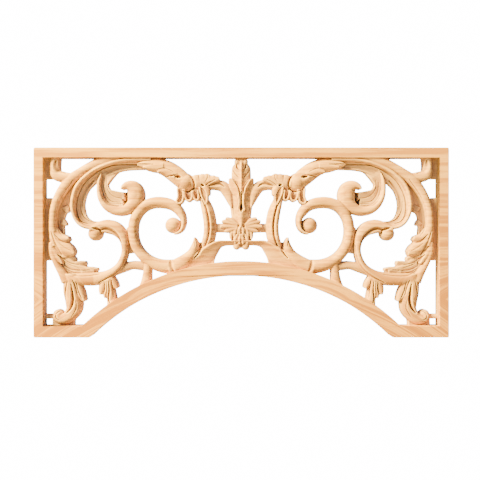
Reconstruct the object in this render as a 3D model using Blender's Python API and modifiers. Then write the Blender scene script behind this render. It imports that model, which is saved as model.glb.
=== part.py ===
"""Carved openwork applique: a flat frame with an arched bottom rail, filled with scrolls and leaves.

Metres, +Z up. The panel stands in the XZ plane and its carved side faces -Y. Its back is the plane
y = 0, and the origin is on that plane, at the middle of the panel's length and height.

The panel is one board: the frame is left at full thickness, and the ornament is worked down from the
board's face. The right half is drawn, and the left half mirrors it.
"""

import math

import bmesh
import bpy
from mathutils import Matrix, Vector

MM = 0.001

# Driving sizes of the board and its frame
PANEL_LENGTH = 330 * MM
PANEL_HEIGHT = 151 * MM
PANEL_THICKNESS = 12 * MM
STILE_WIDTH = 7.5 * MM
TOP_RAIL_HEIGHT = 8 * MM
FOOT_RAIL_HEIGHT = 9.2 * MM
FOOT_LENGTH = 45 * MM
ARCH_RISE = 49.2 * MM
ARCH_BAND_WIDTH = 11.2 * MM
FOOT_CORNER_RADIUS = 5 * MM
OUTER_CORNER_RADIUS = 1.2 * MM

# How deep the ornament lies below the face of the board
STEM_DEPTH = 1.0 * MM
LEAF_DEPTH = 1.4 * MM
UNDER_LEAF_DEPTH = 4.0 * MM
TIE_DEPTH = 5.5 * MM
WEB_DEPTH = 7.5 * MM
FLUTE_CUT = 3.0 * MM
DEEP_CUT = 5.0 * MM

# How finely the curves are cut into straight facets
SCROLL_FACET = 6.0
ARCH_FACETS = 29
BALL_RINGS = 5
BALL_SIDES = 10

# Shapes start this far behind the back before the back is cut flat
BACK_SPARE = 2 * MM
BACK_STEP = 0.02 * MM

WOOD_COLOUR = (0.80, 0.56, 0.36, 1.0)
WOOD_ROUGHNESS = 0.6


class Opening:
    """The space inside a frame: the underside of its top rail, its stiles, its feet and its arch."""

    def __init__(self, length, height, stile, top_rail, foot_rail, foot_length, arch_rise, arch_band):
        self.half_width = length / 2 - stile
        self.top = height / 2 - top_rail
        self.floor = foot_rail - height / 2
        self.half_span = length / 2 - foot_length
        self.arch_radius = (self.half_span**2 + arch_rise**2) / (2 * arch_rise)
        self.arch_centre = arch_rise - height / 2 - self.arch_radius
        self.band_radius = self.arch_radius + arch_band

    def bottom(self, x):
        """The upper edge of the bottom rail, or of the foot, at x."""
        if abs(x) >= self.band_radius:
            return self.floor
        return max(self.floor, self.arch_centre + math.sqrt(self.band_radius**2 - x**2))


OPENING = Opening(
    PANEL_LENGTH,
    PANEL_HEIGHT,
    STILE_WIDTH,
    TOP_RAIL_HEIGHT,
    FOOT_RAIL_HEIGHT,
    FOOT_LENGTH,
    ARCH_RISE,
    ARCH_BAND_WIDTH,
)

# The ornament is drawn in millimetres from the panel's centre, for a frame of these sizes
DRAWN = Opening(330, 151, 7.5, 8, 9.2, 45, 49.2, 11.2)

# Cross-sections from one edge of a stroke, -1, to the other, 1, as shares of its fall from the crest.
# Seen along the stroke, 1 is its left edge, which is the outer side of a scroll.
ROUND = ((-1, 1), (-0.45, 0.08), (0.45, 0.08), (1, 1))
ROOF = ((-1, 1), (0, 0), (1, 1))
RIM_AND_FLUTE = ((-1, 0.8), (-0.35, 1), (0.08, 0.7), (0.3, 0), (1, 0.35))
FLAT = ((-1, 0), (1, 0))
HOLLOW = ((-1, 0), (0, 1), (1, 0))
GROOVED = ((-1, 1), (-0.35, 0.05), (0, 0.55), (0.3, 0), (1, 1))
# For a stroke along the centre line: no edge of it lies in the plane that the mirror cuts along
RIDGE = ((-1, 1), (-0.12, 0), (0.12, 0), (1, 1))
SLOT = ((-1, 0), (-0.2, 1), (0.2, 1), (1, 0))


def fitted(x, z):
    """A point of the drawing, moved into the frame's own opening."""
    new_x = x * OPENING.half_width / DRAWN.half_width
    height = (z - DRAWN.bottom(x)) / (DRAWN.top - DRAWN.bottom(x))
    bottom = OPENING.bottom(new_x)
    return new_x, bottom + height * (OPENING.top - bottom)


def between(a, b, c, d, t):
    """A smooth step from b to c through four values, t from 0 to 1."""
    return b + 0.5 * t * (c - a + t * (2 * a - 5 * b + 4 * c - d + t * (3 * (b - c) + d - a)))


def smooth(stations, facet, length):
    """Points on a smooth curve through the stations, about one facet apart; length measures a span."""
    ends = [stations[0], *stations, stations[-1]]
    points = [stations[0]]
    for a, b, c, d in zip(ends, ends[1:], ends[2:], ends[3:]):
        count = max(1, round(length(b, c) / facet))
        for i in range(1, count + 1):
            points.append(tuple(between(*four, i / count) for four in zip(a, b, c, d)))
    return points


def stem(*stations, facet=SCROLL_FACET):
    """A stroke through stations of x, z and width."""
    return smooth(stations, facet, lambda b, c: math.hypot(c[0] - b[0], c[1] - b[1]))


def scroll(centre, *turns, facet=SCROLL_FACET):
    """A stroke round a centre, through turns of angle in degrees, radius and width."""
    path = []
    for angle, radius, width in smooth(turns, facet, lambda b, c: math.radians(abs(c[0] - b[0])) * b[1]):
        turned = math.radians(angle)
        path.append((centre[0] + radius * math.cos(turned), centre[1] + radius * math.sin(turned), width))
    return path


class Motif:
    """One part of the ornament: shapes that stand up from the back, less the gouge cuts made in them."""

    def __init__(self, name):
        self.name = name
        self.raised = []
        self.cuts = []

    def place(self, mesh, name, cutting):
        target = self.cuts if cutting else self.raised
        data = bpy.data.meshes.new(name)
        mesh.to_mesh(data)
        mesh.free()
        target.append(bpy.data.objects.new(name, data))

    def stroke(self, path, section, depth, relief, cutting=False):
        """A band along the path: depth is its crest's depth below the face, relief its fall to the edge."""
        mesh = bmesh.new()
        rows = len(path) - 1
        columns = len(section) - 1
        bmesh.ops.create_grid(mesh, x_segments=rows, y_segments=columns, size=0.5)
        for vertex in mesh.verts:
            row = round((vertex.co.x + 0.5) * rows)
            across, fall = section[round((vertex.co.y + 0.5) * columns)]
            x, z, width = path[row]
            ahead = path[min(row + 1, rows)]
            behind = path[max(row - 1, 0)]
            along = Vector((ahead[0] - behind[0], ahead[1] - behind[1])).normalized()
            x -= along.y * across * width / 2
            z += along.x * across * width / 2
            new_x, new_z = fitted(x, z)
            vertex.co = (new_x, depth + relief * fall - PANEL_THICKNESS, new_z)
        self.close(mesh, cutting)

    def gouge(self, path, depth, section=HOLLOW):
        """A V-shaped cut from the face down to this depth."""
        self.stroke(path, section, 0, depth, cutting=True)

    def ball(self, x, z, radius, depth, across=1.0):
        """A half ball on a round post, its top at this depth below the face."""
        mesh = bmesh.new()
        bmesh.ops.create_uvsphere(mesh, u_segments=BALL_SIDES, v_segments=BALL_RINGS, radius=1)
        bmesh.ops.rotate(mesh, verts=mesh.verts, matrix=Matrix.Rotation(math.pi / 2, 3, "X"))
        for vertex in mesh.verts:
            new_x, new_z = fitted(x + vertex.co.x * radius * across, z + vertex.co.z * radius)
            rise = min(radius * MM, PANEL_THICKNESS / 2)
            front = depth + rise - PANEL_THICKNESS
            back = BACK_SPARE + BACK_STEP * len(self.raised)
            vertex.co = (new_x, front + vertex.co.y * rise if vertex.co.y < 0.1 else back, new_z)
        self.place(mesh, f"{self.name} ball", False)

    def close(self, mesh, cutting):
        """Gives a sheet its thickness, back past the panel's back, or forward of its face for a cut."""
        faces = bmesh.ops.extrude_face_region(mesh, geom=mesh.faces[:])
        far = -PANEL_THICKNESS - BACK_SPARE if cutting else BACK_SPARE
        step = BACK_STEP * (len(self.raised) + len(self.cuts))
        for part in faces["geom"]:
            if isinstance(part, bmesh.types.BMVert):
                part.co.y = far - step if cutting else far + step
        bmesh.ops.recalc_face_normals(mesh, faces=mesh.faces)
        self.place(mesh, f"{self.name} {'cut' if cutting else 'stroke'}", cutting)


def ring_scroll():
    """The round scroll that curls in to a ball."""
    motif = Motif("ring_scroll")
    ring = scroll(
        (63.1, 9.2),
        (-112, 31.2, 12.5),
        (-98, 28.9, 11.4),
        (-61, 25.9, 8.6),
        (-30, 24.4, 8.2),
        (0, 23.7, 8.0),
        (50, 24.6, 8.6),
        (90, 22.8, 9.0),
        (115, 21.9, 8.4),
        (135, 20.4, 7.4),
        (151, 19.2, 5.6),
        (166, 17.0, 4.4),
        (180, 14.2, 3.2),
    )
    motif.stroke(ring, ROOF, STEM_DEPTH + 0.15 * MM, 3 * MM)
    motif.ball(54.6, 13.7, 6.8, STEM_DEPTH)
    return motif


def crescent():
    """The band that leaves the top rail and swings down beside the outer leaf."""
    motif = Motif("crescent")
    band = stem(
        (72.0, 63.4, 9.4),
        (92.6, 62.8, 10.0),
        (105.3, 59.7, 10.4),
        (117.3, 54.0, 10.4),
        (127.3, 44.6, 10.8),
        (131.2, 33.8, 10.8),
        (130.9, 24.6, 10.8),
        (127.4, 17.2, 9.4),
        (121.0, 14.0, 7.4),
        (114.5, 15.2, 4.4),
    )
    motif.stroke(band, RIM_AND_FLUTE, STEM_DEPTH, 4.5 * MM)
    return motif


def volute():
    """The stem that leaves the crescent and curls up into a bulb."""
    motif = Motif("volute")
    dish = stem(
        (97.0, 60.5, 8.0),
        (106.5, 54.5, 9.4),
        (111.4, 46.0, 8.8),
        (109.0, 38.6, 11.4),
        (102.0, 35.0, 13.0),
        (93.0, 34.6, 11.0),
    )
    motif.stroke(dish, HOLLOW, UNDER_LEAF_DEPTH, 1.5 * MM)
    rim = stem(
        (112.8, 53.0, 2.4),
        (113.8, 48.6, 3.6),
        (113.8, 41.8, 4.6),
        (112.2, 35.2, 5.2),
        (108.3, 29.3, 6.0),
        (102.4, 25.8, 7.0),
        (95.8, 25.2, 8.0),
        (89.6, 27.8, 9.6),
        (85.0, 32.8, 11.6),
        (83.9, 38.8, 11.0),
        (86.2, 44.0, 8.6),
        (90.8, 45.8, 7.0),
        (94.6, 44.4, 4.6),
    )
    motif.stroke(rim, ROOF, STEM_DEPTH, 3 * MM)
    motif.ball(84.4, 38.4, 10.8, STEM_DEPTH - 0.3 * MM, across=0.63)
    motif.gouge(stem((94.2, 43.0, 2.0), (91.6, 37.5, 4.4), (92.6, 31.0, 4.4), (95.6, 30.2, 2.0)), FLUTE_CUT)
    return motif


def hook_scroll():
    """The C scroll inside the crescent, with a ball at its upper end and a leaf at its lower one."""
    motif = Motif("hook_scroll")
    hook = stem(
        (121.0, 10.4, 5.0),
        (114.0, 12.4, 9.0),
        (106.5, 12.7, 11.2),
        (99.7, 10.2, 10.6),
        (94.6, 4.0, 7.8),
        (93.1, -4.5, 5.0),
        (94.3, -12.3, 5.4),
        (98.4, -19.8, 6.2),
        (105.6, -25.3, 7.4),
        (114.9, -29.0, 10.4),
        (127.5, -29.5, 10.0),
        (137.0, -29.0, 9.0),
    )
    motif.stroke(hook, ROOF, STEM_DEPTH, 3 * MM)
    motif.ball(117.1, 7.2, 6.1, STEM_DEPTH)
    motif.gouge(stem((116.0, 9.5, 2.0), (110.5, 12.0, 5.6), (104.0, 11.0, 5.6), (99.0, 7.0, 2.4)), FLUTE_CUT)
    return motif


def short_leaf():
    """The leaf that hangs from the C scroll onto the arch."""
    motif = Motif("short_leaf")
    motif.stroke(
        stem((107.5, -28.0, 10.0), (106.3, -36.0, 9.2), (104.2, -43.0, 7.4), (103.4, -51.0, 8.0)),
        ROOF,
        LEAF_DEPTH,
        2.5 * MM,
    )
    for path in (
        stem((109.6, -31.0, 6.0), (111.2, -37.0, 4.8), (111.6, -42.0, 2.6)),
        stem((104.8, -30.0, 6.0), (101.6, -33.4, 5.0), (99.8, -36.0, 2.6)),
    ):
        motif.stroke(path, ROOF, LEAF_DEPTH + 1 * MM, 2 * MM)
    return motif


def tie_bars():
    """The low bars and webs that hold the scrolls to each other, to the arch and to the stile."""
    motif = Motif("tie_bars")
    branch = stem(
        (101.5, -23.6, 6.5),
        (93.4, -20.0, 7.5),
        (87.0, -18.3, 6.8),
        (80.6, -18.8, 7.2),
        (73.0, -20.0, 6.5),
    )
    motif.stroke(branch, ROOF, TIE_DEPTH - 2 * MM, 2 * MM)
    prop = stem((74.6, -16.0, 7.0), (75.4, -25.0, 7.2), (76.6, -36.0, 11.0))
    motif.stroke(prop, ROUND, STEM_DEPTH + 1 * MM, 2 * MM)
    motif.stroke(stem((90.5, 12.0, 3.0), (90.2, 4.0, 5.0), (88.3, -9.0, 8.2)), FLAT, TIE_DEPTH, 0)
    motif.stroke(stem((26.0, 11.6, 6.8), (8.0, 11.6, 7.8)), ROUND, TIE_DEPTH, 1 * MM)
    motif.stroke(stem((158.5, -59.4, 3.6), (148.0, -59.4, 3.6)), FLAT, TIE_DEPTH, 0)
    motif.stroke(stem((151.4, -63.4, 5.6), (134.0, -64.5, 9.6)), FLAT, TIE_DEPTH, 0)
    motif.stroke(stem((154.5, 69.0, 8.4), (154.5, 51.0, 8.0)), FLAT, WEB_DEPTH, 0)
    motif.stroke(stem((154.8, 36.0, 5.0), (155.0, 12.0, 7.5), (154.8, -14.6, 6.0)), FLAT, WEB_DEPTH, 0)
    motif.stroke(stem((33.6, 0.2, 4.4), (33.2, -7.0, 6.8)), FLAT, WEB_DEPTH, 0)
    return motif


def outer_leaf():
    """The long acanthus leaf beside the stile: a light rim, a hollow and lobes."""
    motif = Motif("outer_leaf")
    rim = stem(
        (98.0, 69.2, 6.6),
        (109.0, 65.8, 9.8),
        (121.0, 60.7, 7.8),
        (129.2, 55.7, 8.0),
        (136.6, 50.4, 9.2),
        (142.8, 42.8, 8.6),
        (147.3, 34.6, 7.6),
        (150.0, 25.5, 6.8),
        (150.8, 15.5, 6.4),
        (150.2, 6.5, 6.6),
        (148.6, -2.0, 7.0),
    )
    motif.stroke(rim, ROUND, LEAF_DEPTH, 2.5 * MM)
    hollow = stem(
        (131.0, 50.5, 4.0),
        (136.0, 43.0, 6.0),
        (139.6, 36.0, 9.5),
        (142.6, 28.5, 9.4),
        (145.2, 21.5, 7.4),
        (146.2, 14.5, 6.4),
        (146.0, 8.0, 6.0),
    )
    motif.stroke(hollow, HOLLOW, UNDER_LEAF_DEPTH + 1 * MM, 1 * MM)
    for path in (
        stem((142.0, 29.0, 5.4), (140.4, 26.4, 4.8), (138.6, 23.8, 2.2)),
        stem((145.0, 17.0, 5.4), (142.6, 15.0, 4.6), (140.0, 13.4, 2.0)),
    ):
        motif.stroke(path, ROOF, UNDER_LEAF_DEPTH, 1.5 * MM)
    edge = stem(
        (151.4, 0.0, 5.0),
        (151.0, -8.0, 5.0),
        (147.6, -17.0, 5.2),
        (143.4, -24.5, 6.2),
        (140.0, -31.0, 8.2),
    )
    for path in (
        stem((150.3, 6.4, 6.2), (144.0, 3.2, 7.0), (138.8, 2.6, 5.4)),
        stem((151.0, -6.0, 5.5), (146.4, -12.0, 6.0), (143.0, -15.6, 3.8)),
        edge,
    ):
        motif.stroke(path, ROOF, LEAF_DEPTH, 2.5 * MM)
    fold = stem((149.5, 1.5, 6.0), (143.5, -3.0, 9.6), (138.2, -6.6, 9.4), (134.0, -8.2, 5.0))
    motif.stroke(fold, ROUND, LEAF_DEPTH, 3 * MM)
    for path in (
        stem((146.0, -14.0, 8.0), (140.0, -13.6, 8.0), (135.0, -13.0, 7.0)),
        stem((144.0, -20.5, 9.0), (135.0, -19.0, 9.2), (126.6, -17.7, 6.4)),
        stem((140.0, -27.0, 9.0), (129.0, -24.4, 8.4), (118.8, -22.8, 4.6)),
    ):
        motif.stroke(path, ROOF, UNDER_LEAF_DEPTH - 1 * MM, 2 * MM)
    return motif


def corner_curl():
    """The hook that holds the outer leaf to the corner of the frame."""
    motif = Motif("corner_curl")
    hook = stem(
        (148.6, 71.0, 7.4),
        (149.4, 60.5, 7.0),
        (148.4, 54.5, 8.4),
        (143.0, 52.6, 8.8),
        (135.0, 52.4, 7.0),
    )
    motif.stroke(hook, ROOF, LEAF_DEPTH + 1 * MM, 2.5 * MM)
    return motif


def drop_leaf():
    """The leaf that drops from the lower end of the outer leaf and curls onto the foot."""
    motif = Motif("drop_leaf")
    body = stem(
        (136.4, -27.0, 12.4),
        (136.0, -37.8, 13.4),
        (134.4, -46.0, 13.6),
        (134.4, -53.8, 12.4),
        (139.2, -60.0, 9.6),
        (145.2, -61.0, 7.6),
        (148.2, -57.6, 5.8),
    )
    motif.stroke(body, GROOVED, LEAF_DEPTH, 3 * MM)
    spur = stem((132.5, -35.0, 7.0), (128.6, -41.0, 6.4), (125.4, -46.4, 3.0))
    motif.stroke(spur, ROOF, LEAF_DEPTH + 1 * MM, 2 * MM)
    motif.ball(146.8, -57.8, 4.4, LEAF_DEPTH + 1 * MM)
    return motif


def head_leaf():
    """The leafy head at the inner end of the top stem, with ruffles below and a crest leaf beside it."""
    motif = Motif("head_leaf")
    calyx = stem(
        (77.0, 63.4, 9.4),
        (66.5, 62.2, 12.0),
        (58.5, 58.6, 14.0),
        (51.5, 53.6, 14.6),
        (46.5, 49.0, 13.6),
    )
    motif.stroke(calyx, ROOF, STEM_DEPTH, 3 * MM)
    motif.ball(45.2, 47.6, 7.6, STEM_DEPTH)
    motif.stroke(stem((50.5, 40.0, 10.0), (41.0, 40.0, 12.0), (30.0, 40.0, 10.0)), FLAT, UNDER_LEAF_DEPTH, 0)
    for path in (
        stem((48.6, 46.0, 6.0), (50.0, 38.5, 5.4), (48.8, 30.4, 5.0)),
        stem((44.5, 44.0, 6.8), (44.6, 38.0, 7.0), (43.4, 32.6, 5.4)),
        stem((38.5, 44.0, 6.8), (38.2, 38.0, 7.0), (37.0, 33.0, 5.4)),
        stem((34.2, 46.8, 8.0), (32.4, 39.0, 8.4), (30.6, 31.6, 7.4)),
    ):
        motif.stroke(path, ROOF, LEAF_DEPTH + 1 * MM, 2 * MM)
    crest = stem((42.0, 48.4, 10.4), (34.5, 49.0, 13.8), (27.0, 50.0, 12.8), (18.4, 50.6, 7.4))
    motif.stroke(crest, ROOF, LEAF_DEPTH, 2.5 * MM)
    motif.stroke(stem((29.3, 48.0, 8.0), (26.6, 38.5, 4.4)), ROOF, LEAF_DEPTH + 0.8 * MM, 2 * MM)
    motif.gouge(stem((53.4, 53.2, 1.6), (50.2, 52.4, 3.0), (48.4, 50.4, 1.4)), DEEP_CUT)
    motif.gouge(stem((33.4, 47.0, 1.6), (31.4, 46.2, 3.2), (29.6, 44.8, 1.8)), DEEP_CUT)
    return motif


def bow():
    """The low bow between the crest leaf and the tulip."""
    motif = Motif("bow")
    motif.stroke(
        stem((27.0, 46.0, 7.5), (20.4, 46.2, 8.0), (14.4, 44.8, 9.2), (10.4, 39.6, 9.0), (8.0, 30.0, 5.4)),
        ROOF,
        UNDER_LEAF_DEPTH - 1 * MM,
        2.5 * MM,
    )
    return motif


def main_stem():
    """The upright stem under the head leaf, which sweeps out along the arch."""
    motif = Motif("main_stem")
    upright = stem(
        (30.8, 38.0, 7.0),
        (28.8, 33.0, 8.4),
        (26.7, 27.0, 9.4),
        (25.2, 20.0, 10.0),
        (24.7, 12.0, 10.0),
        (25.6, 4.5, 9.8),
        (28.8, -3.0, 9.0),
        (34.4, -10.0, 8.6),
        (42.0, -16.2, 9.6),
        (52.0, -21.0, 9.6),
    )
    motif.stroke(upright, GROOVED, STEM_DEPTH, 3 * MM)
    foot = stem(
        (-4.0, -0.9, 7.2),
        (9.0, -0.4, 7.2),
        (17.0, -1.2, 8.4),
        (24.0, -5.8, 10.6),
        (28.0, -13.0, 10.5),
        (30.5, -21.0, 12.0),
    )
    motif.stroke(foot, ROOF, UNDER_LEAF_DEPTH, 2 * MM)
    return motif


def bud():
    """The pointed bud between the ring scroll and the main stem."""
    motif = Motif("bud")
    body = stem(
        (37.2, 3.8, 2.2),
        (36.8, -1.6, 5.4),
        (38.6, -8.0, 7.8),
        (44.2, -14.2, 11.2),
        (51.6, -19.0, 13.0),
    )
    motif.stroke(body, ROUND, STEM_DEPTH - 0.2 * MM, 3.5 * MM)
    return motif


def tulip():
    """The bellflower on the panel's centre line, with the blossom under it."""
    motif = Motif("tulip")
    body = stem(
        (0.0, 70.0, 10.6),
        (0.0, 62.4, 10.6),
        (0.0, 60.0, 15.4),
        (0.0, 50.0, 16.2),
        (0.0, 43.0, 18.0),
        (0.0, 34.0, 19.6),
        (0.0, 26.0, 17.2),
        (0.0, 19.0, 15.0),
        (0.0, 13.4, 10.0),
    )
    motif.stroke(body, RIDGE, LEAF_DEPTH, 3 * MM)
    side_petal = stem((10.2, 50.4, 3.0), (6.6, 43.8, 7.0), (4.9, 36.8, 2.8))
    motif.stroke(side_petal, ROOF, STEM_DEPTH, 2 * MM)
    blossom = stem((0.0, 16.0, 14.0), (0.0, 6.0, 20.0), (0.0, -2.4, 15.0))
    motif.stroke(blossom, RIDGE, UNDER_LEAF_DEPTH - 1 * MM, 2.5 * MM)
    petal = stem((4.0, 12.4, 9.0), (11.0, 14.4, 10.6), (17.6, 10.8, 7.4))
    motif.stroke(petal, ROOF, UNDER_LEAF_DEPTH - 2 * MM, 2 * MM)
    motif.ball(3.6, -2.8, 3.4, UNDER_LEAF_DEPTH - 1 * MM)
    motif.gouge(stem((0.0, 40.0, 1.4), (0.0, 31.0, 2.6), (0.0, 28.0, 5.0), (0.0, 24.5, 2.0)), DEEP_CUT, SLOT)
    return motif


MOTIFS = (
    ring_scroll,
    crescent,
    volute,
    hook_scroll,
    short_leaf,
    tie_bars,
    outer_leaf,
    corner_curl,
    drop_leaf,
    head_leaf,
    bow,
    main_stem,
    bud,
    tulip,
)


def half_arch(radius, reach):
    """The right half of an arch out to this x. Its facets are an odd number, so one spans the centre line."""
    step = 2 * math.asin(reach / radius) / ARCH_FACETS
    turned = [step * (i + 0.5) for i in range(ARCH_FACETS // 2 + 1)]
    return [(radius * math.sin(a), OPENING.arch_centre + radius * math.cos(a)) for a in turned]


def rounded(corner, before, after, radius, count=4):
    """A fillet of this radius at a corner between two directions that lead away from it."""
    corner, before, after = Vector(corner), Vector(before).normalized(), Vector(after).normalized()
    half = before.angle(after) / 2
    reach = radius / math.tan(half)
    centre = corner + (before + after).normalized() * radius / math.sin(half)
    start = corner + before * reach - centre
    turn = start.angle_signed(corner + after * reach - centre)
    return [tuple(centre + Matrix.Rotation(-turn * i / count, 2) @ start) for i in range(count + 1)]


def frame_outline():
    """The outside of the panel: the right half from the crown up to the top rail, then its mirror image."""
    half = PANEL_LENGTH / 2
    top = PANEL_HEIGHT / 2
    spring = OPENING.half_span
    slope = (-(-top - OPENING.arch_centre) / spring, 1)
    right = [
        *half_arch(OPENING.arch_radius, spring - FOOT_CORNER_RADIUS),
        *rounded((spring, -top), slope, (1, 0), FOOT_CORNER_RADIUS),
        *rounded((half, -top), (-1, 0), (0, 1), OUTER_CORNER_RADIUS, 2),
        *rounded((half, top), (0, -1), (-1, 0), OUTER_CORNER_RADIUS, 2),
    ]
    return right + [(-x, z) for x, z in reversed(right)]


def opening_outline():
    """The inside of the frame: the right half from the crown up to the top rail, then its mirror image."""
    run = math.sqrt(OPENING.band_radius**2 - (OPENING.floor - OPENING.arch_centre) ** 2)
    right = [
        *half_arch(OPENING.band_radius, run),
        (OPENING.half_width, OPENING.floor),
        (OPENING.half_width, OPENING.top),
    ]
    return right + [(-x, z) for x, z in reversed(right)]


def flat_frame():
    """The frame, a flat outline with one opening, as thick as the board."""
    curve = bpy.data.curves.new("frame outline", "CURVE")
    curve.dimensions = "2D"
    curve.fill_mode = "BOTH"
    curve.extrude = PANEL_THICKNESS / 2
    for outline in (frame_outline(), opening_outline()):
        spline = curve.splines.new("POLY")
        spline.points.add(len(outline) - 1)
        for point, (x, z) in zip(spline.points, outline):
            point.co = (x, z, 0, 1)
        spline.use_cyclic_u = True
    guide = bpy.data.objects.new("frame outline", curve)
    upright = Matrix.Rotation(math.pi / 2, 4, "X")
    guide.matrix_world = Matrix.Translation((0, -PANEL_THICKNESS / 2, 0)) @ upright
    bpy.context.scene.collection.objects.link(guide)
    graph = bpy.context.evaluated_depsgraph_get()
    data = bpy.data.meshes.new_from_object(guide.evaluated_get(graph))
    data.transform(guide.matrix_world)
    bpy.data.objects.remove(guide)
    mesh = bmesh.new()
    mesh.from_mesh(data)
    bmesh.ops.remove_doubles(mesh, verts=mesh.verts, dist=0.01 * MM)
    mesh.to_mesh(data)
    mesh.free()
    return bpy.data.objects.new("carved_panel", data)


def hide(obj):
    obj.hide_render = True
    obj.display_type = "WIRE"


def collect(name, objects, parent):
    """A collection of helper shapes, kept out of the render."""
    group = bpy.data.collections.new(name)
    parent.children.link(group)
    for obj in objects:
        hide(obj)
        group.objects.link(obj)
    return group


def add_boolean(obj, name, operation, group):
    modifier = obj.modifiers.new(name, "BOOLEAN")
    modifier.operation = operation
    modifier.solver = "EXACT"
    modifier.operand_type = "COLLECTION"
    modifier.collection = group


def carve(motif, parent):
    """One motif as one object: its shapes joined, and its gouge cuts taken out."""
    first, *others = motif.raised
    first.name = motif.name
    if others:
        add_boolean(first, "join", "UNION", collect(f"{motif.name} shapes", others, parent))
    if motif.cuts:
        add_boolean(first, "gouge", "DIFFERENCE", collect(f"{motif.name} gouge cuts", motif.cuts, parent))
    return first


def back_cutter():
    """A block behind the panel, which leaves its back flat."""
    mesh = bmesh.new()
    bmesh.ops.create_cube(mesh, size=1)
    depth = 10 * BACK_SPARE
    bmesh.ops.scale(mesh, verts=mesh.verts, vec=(2 * PANEL_LENGTH, depth, 2 * PANEL_HEIGHT))
    bmesh.ops.translate(mesh, verts=mesh.verts, vec=(0, depth / 2, 0))
    data = bpy.data.meshes.new("back cutter")
    mesh.to_mesh(data)
    mesh.free()
    return bpy.data.objects.new("back cutter", data)


def wood():
    material = bpy.data.materials.new("bare wood")
    material.use_nodes = True
    shader = material.node_tree.nodes["Principled BSDF"]
    shader.inputs["Base Color"].default_value = WOOD_COLOUR
    shader.inputs["Roughness"].default_value = WOOD_ROUGHNESS
    shader.inputs["Metallic"].default_value = 0.0
    material.diffuse_color = WOOD_COLOUR
    return material


def main():
    for obj in list(bpy.data.objects):
        bpy.data.objects.remove(obj)
    scene = bpy.context.scene.collection
    cutters = bpy.data.collections.new("cutters")
    applique = bpy.data.collections.new("carved_applique")
    scene.children.link(cutters)
    scene.children.link(applique)

    panel = flat_frame()
    applique.objects.link(panel)
    ornament = [carve(make(), cutters) for make in MOTIFS]
    add_boolean(panel, "ornament", "UNION", collect("ornament", ornament, cutters))
    add_boolean(panel, "flat back", "DIFFERENCE", collect("back", [back_cutter()], cutters))
    mirror = panel.modifiers.new("left half", "MIRROR")
    mirror.use_axis = (True, False, False)
    mirror.use_bisect_axis = (True, False, False)
    mirror.use_bisect_flip_axis = (False, False, False)
    mirror.bisect_threshold = 0.001 * MM
    mirror.merge_threshold = 0.01 * MM
    panel.data.materials.append(wood())


main()
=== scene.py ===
# %% [markdown]
# # A carved wood applique
#
# This is a thin board of pale wood, cut right through and carved on one side. A flat frame runs round it,
# with an arched rail at the bottom, and inside the frame two mirrored halves of scrolls and leaves grow from
# a bellflower on the centre line. It is glued to a door or a cornice by its flat back.
#
# The frame is crisp and square, as a saw leaves it. The carving is round and soft, as a gouge and sandpaper
# leave it. So the two are made in different ways, and lie in each other where they meet.

import math

import bmesh
import bpy
import numpy as np
from mathutils import Matrix, Vector


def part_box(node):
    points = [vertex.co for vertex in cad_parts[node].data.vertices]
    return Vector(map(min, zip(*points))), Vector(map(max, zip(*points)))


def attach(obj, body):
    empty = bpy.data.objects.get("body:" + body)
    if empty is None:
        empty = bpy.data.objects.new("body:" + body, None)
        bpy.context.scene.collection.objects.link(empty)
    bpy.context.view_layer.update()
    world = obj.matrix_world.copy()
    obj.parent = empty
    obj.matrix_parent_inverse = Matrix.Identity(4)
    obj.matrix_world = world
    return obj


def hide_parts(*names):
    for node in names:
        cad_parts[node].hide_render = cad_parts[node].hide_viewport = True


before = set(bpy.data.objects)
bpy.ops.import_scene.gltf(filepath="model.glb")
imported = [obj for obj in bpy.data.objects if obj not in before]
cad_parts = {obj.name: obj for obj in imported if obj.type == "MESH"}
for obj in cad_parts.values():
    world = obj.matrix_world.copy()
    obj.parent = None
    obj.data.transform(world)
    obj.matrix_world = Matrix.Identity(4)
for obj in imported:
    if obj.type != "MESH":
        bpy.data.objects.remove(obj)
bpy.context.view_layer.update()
low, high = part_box("carved_panel")

MM = 0.001
LENGTH = (high[0] - low[0]) / MM
HEIGHT = (high[2] - low[2]) / MM
THICKNESS = (high[1] - low[1]) / MM
print(f"board {LENGTH:.1f} x {HEIGHT:.1f} x {THICKNESS:.1f} mm")

# %% [markdown]
# ## The frame
#
# The frame is one flat outline with one hole. A 2D curve with its fill mode on both sides draws that best:
# two closed splines, and the extrude gives the board its thickness. The arch is part of a circle, found from
# its span and its rise. The rail above it follows the same centre, so it is equally wide all along.

# %% Sizes of the frame, in millimetres
STILE = 7.5
TOP_RAIL = 8.0
FOOT_RAIL = 9.2
FOOT_LENGTH = 45.0
ARCH_RISE = 49.2
ARCH_BAND = 11.2
FOOT_CORNER = 5.0
OUTER_CORNER = 1.2
EDGE_SOFTENING = 0.35
ARCH_STEPS = 81

half_span = LENGTH / 2 - FOOT_LENGTH
arch_radius = (half_span**2 + ARCH_RISE**2) / (2 * ARCH_RISE)
arch_centre = ARCH_RISE - HEIGHT / 2 - arch_radius
band_radius = arch_radius + ARCH_BAND
floor_line = FOOT_RAIL - HEIGHT / 2
print(f"the arch is part of a circle of {arch_radius:.1f} mm radius")


# %% Outlines of the frame
def half_arch(radius, reach):
    """The right half of an arch, out to this x."""
    step = 2 * math.asin(reach / radius) / ARCH_STEPS
    turned = [step * (i + 0.5) for i in range(ARCH_STEPS // 2 + 1)]
    return [(radius * math.sin(a), arch_centre + radius * math.cos(a)) for a in turned]


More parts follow.
